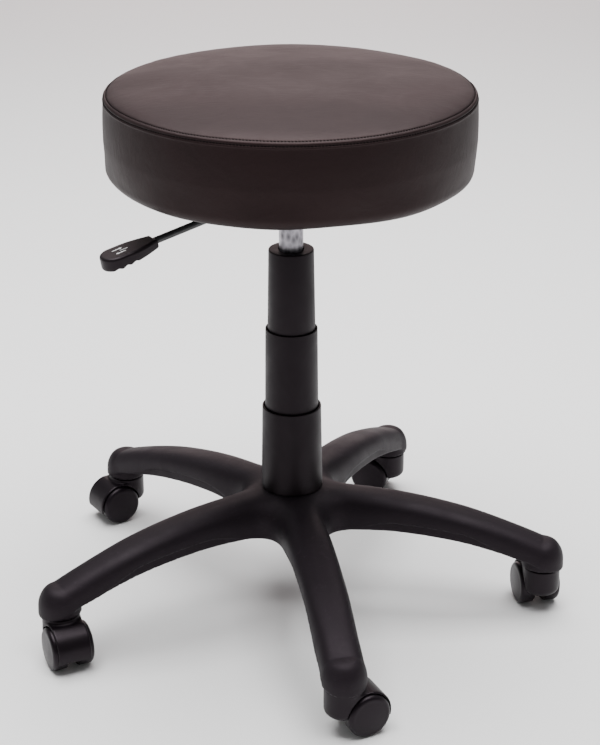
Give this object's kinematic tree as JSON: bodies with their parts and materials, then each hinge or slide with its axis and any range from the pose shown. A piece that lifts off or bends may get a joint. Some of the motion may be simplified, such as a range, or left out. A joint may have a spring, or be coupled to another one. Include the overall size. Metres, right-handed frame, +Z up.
{
  "type": "rolling stylist stool",
  "caption": "Low round padded stool on a gas lift with telescoping covers, a release lever, and a star base on twin-wheel castors.",
  "frame": {"origin": "on the floor, on the axis of the gas lift", "axes": "+Z up; +Y away from the side with the front castor, +X to the right of someone who looks along +Y"},
  "size_m": [0.6186, 0.6364, 0.6575],
  "materials": {
    "vinyl": "satin, fine creases",
    "foam": "open-cell foam",
    "plywood": "raw plywood",
    "cloth": "woven under cloth",
    "zinc": "zinc plated",
    "black_steel": "black powder coat",
    "lift_steel": "dull galvanised",
    "bright_steel": "ground",
    "cover_plastic": "matte moulded",
    "base_nylon": "matte, lightly scuffed",
    "castor_nylon": "satin moulded",
    "sleeve_plastic": "natural plastic",
    "rubber": "matte"
  },
  "bodies": {
    "base": {"star_base": "base_nylon", "column_tube": "black_steel", "guide_sleeve": "sleeve_plastic", "column_end_plate": "zinc", "bearing_lower_race": "bright_steel", "cover_lower": "cover_plastic", "castor_front_stem": "zinc", "castor_right_stem": "zinc", "castor_back_right_stem": "zinc", "castor_back_left_stem": "zinc", "castor_left_stem": "zinc"},
    "piston": {"piston_rod": "bright_steel", "piston_head": "sleeve_plastic", "retaining_clip": "zinc", "bearing_upper_race": "bright_steel", "bearing_ball_cage": "bright_steel", "rubber_bumper": "rubber"},
    "seat": {"seat_top_panel": "vinyl", "seat_side_band": "vinyl", "foam_pad": "foam", "seat_board": "plywood", "dust_cover": "cloth", "seat_plate": "black_steel", "plate_bolt_1": "zinc", "plate_bolt_2": "zinc", "plate_bolt_3": "zinc", "plate_bolt_4": "zinc", "lever_bracket": "black_steel", "lever_bush": "sleeve_plastic", "cone_socket": "black_steel", "lift_cylinder": "lift_steel", "valve_body": "bright_steel", "rod_guide": "sleeve_plastic"},
    "lever": {"lever_rod": "black_steel", "lever_paddle": "castor_nylon"},
    "pin": {"release_pin": "bright_steel"},
    "upper_cover": {"cover_upper": "cover_plastic"},
    "middle_cover": {"cover_middle": "cover_plastic"},
    "castor_front": {"castor_front_hood": "castor_nylon", "castor_front_axle": "bright_steel"},
    "castor_front_wheel_left": {"castor_front_wheel_left": "castor_nylon"},
    "castor_front_wheel_right": {"castor_front_wheel_right": "castor_nylon"},
    "castor_right": {"castor_right_hood": "castor_nylon", "castor_right_axle": "bright_steel"},
    "castor_right_wheel_left": {"castor_right_wheel_left": "castor_nylon"},
    "castor_right_wheel_right": {"castor_right_wheel_right": "castor_nylon"},
    "castor_back_right": {"castor_back_right_hood": "castor_nylon", "castor_back_right_axle": "bright_steel"},
    "castor_back_right_wheel_left": {"castor_back_right_wheel_left": "castor_nylon"},
    "castor_back_right_wheel_right": {"castor_back_right_wheel_right": "castor_nylon"},
    "castor_back_left": {"castor_back_left_hood": "castor_nylon", "castor_back_left_axle": "bright_steel"},
    "castor_back_left_wheel_left": {"castor_back_left_wheel_left": "castor_nylon"},
    "castor_back_left_wheel_right": {"castor_back_left_wheel_right": "castor_nylon"},
    "castor_left": {"castor_left_hood": "castor_nylon", "castor_left_axle": "bright_steel"},
    "castor_left_wheel_left": {"castor_left_wheel_left": "castor_nylon"},
    "castor_left_wheel_right": {"castor_left_wheel_right": "castor_nylon"}
  },
  "joints": [
    {"name": "seat_swivel", "type": "hinge", "parent": "base", "child": "piston", "pos_m": [0, 0, 0], "axis": [0, 0, 1], "continuous": true},
    {"name": "lift_slide", "type": "slide", "parent": "piston", "child": "seat", "axis": [0, 0, 1], "range_m": [-0.12, 0]},
    {"name": "lever_pull", "type": "hinge", "parent": "seat", "child": "lever", "pos_m": [-0.02744, -0.01816, 0.5212], "axis": [-0.5519, 0.8339, 0], "range_deg": [0, 6], "stiffness_Nm_per_rad": 2, "springref_deg": -8.59},
    {"name": "pin_press", "type": "slide", "parent": "seat", "child": "pin", "axis": [0, 0, 1], "range_m": [-0.0036, 0]},
    {"name": "upper_cover_slide", "type": "slide", "parent": "base", "child": "upper_cover", "axis": [0, 0, 1], "range_m": [-0.12, 0]},
    {"name": "middle_cover_slide", "type": "slide", "parent": "base", "child": "middle_cover", "axis": [0, 0, 1], "range_m": [-0.06, 0]},
    {"name": "castor_front_swivel", "type": "hinge", "parent": "base", "child": "castor_front", "pos_m": [0.05506, -0.29999, 0.06], "axis": [0, 0, 1], "continuous": true},
    {"name": "castor_front_wheel_left_spin", "type": "hinge", "parent": "castor_front", "child": "castor_front_wheel_left", "pos_m": [0.07348, -0.291, 0.0255], "axis": [-0.4384, 0.8988, 0], "continuous": true},
    {"name": "castor_front_wheel_right_spin", "type": "hinge", "parent": "castor_front", "child": "castor_front_wheel_right", "pos_m": [0.07348, -0.291, 0.0255], "axis": [-0.4384, 0.8988, 0], "continuous": true},
    {"name": "castor_right_swivel", "type": "hinge", "parent": "base", "child": "castor_right", "pos_m": [0.30232, -0.04034, 0.06], "axis": [0, 0, 1], "continuous": true},
    {"name": "castor_right_wheel_left_spin", "type": "hinge", "parent": "castor_right", "child": "castor_right_wheel_left", "pos_m": [0.29806, -0.02029, 0.0255], "axis": [-0.9781, -0.2079, 0], "continuous": true},
    {"name": "castor_right_wheel_right_spin", "type": "hinge", "parent": "castor_right", "child": "castor_right_wheel_right", "pos_m": [0.29806, -0.02029, 0.0255], "axis": [-0.9781, -0.2079, 0], "continuous": true},
    {"name": "castor_back_right_swivel", "type": "hinge", "parent": "base", "child": "castor_back_right", "pos_m": [0.13179, 0.27506, 0.06], "axis": [0, 0, 1], "continuous": true},
    {"name": "castor_back_right_wheel_left_spin", "type": "hinge", "parent": "castor_back_right", "child": "castor_back_right_wheel_left", "pos_m": [0.11265, 0.28241, 0.0255], "axis": [-0.3584, -0.9336, 0], "continuous": true},
    {"name": "castor_back_right_wheel_right_spin", "type": "hinge", "parent": "castor_back_right", "child": "castor_back_right_wheel_right", "pos_m": [0.11265, 0.28241, 0.0255], "axis": [-0.3584, -0.9336, 0], "continuous": true},
    {"name": "castor_back_left_swivel", "type": "hinge", "parent": "base", "child": "castor_back_left", "pos_m": [-0.22087, 0.21033, 0.06], "axis": [0, 0, 1], "continuous": true},
    {"name": "castor_back_left_wheel_left_spin", "type": "hinge", "parent": "castor_back_left", "child": "castor_back_left_wheel_left", "pos_m": [-0.23806, 0.19917, 0.0255], "axis": [0.5446, -0.8387, 0], "continuous": true},
    {"name": "castor_back_left_wheel_right_spin", "type": "hinge", "parent": "castor_back_left", "child": "castor_back_left_wheel_right", "pos_m": [-0.23806, 0.19917, 0.0255], "axis": [0.5446, -0.8387, 0], "continuous": true},
    {"name": "castor_left_swivel", "type": "hinge", "parent": "base", "child": "castor_left", "pos_m": [-0.26829, -0.14506, 0.06], "axis": [0, 0, 1], "continuous": true},
    {"name": "castor_left_wheel_left_spin", "type": "hinge", "parent": "castor_left", "child": "castor_left_wheel_left", "pos_m": [-0.25963, -0.16365, 0.0255], "axis": [0.9063, 0.4226, 0], "continuous": true},
    {"name": "castor_left_wheel_right_spin", "type": "hinge", "parent": "castor_left", "child": "castor_left_wheel_right", "pos_m": [-0.25963, -0.16365, 0.0255], "axis": [0.9063, 0.4226, 0], "continuous": true}
  ],
  "couplings": [
    {"joint": "pin_press", "follows": "lever_pull", "m_per_rad": -0.0334},
    {"joint": "upper_cover_slide", "follows": "lift_slide", "ratio": 1},
    {"joint": "middle_cover_slide", "follows": "lift_slide", "ratio": 0.5}
  ]
}
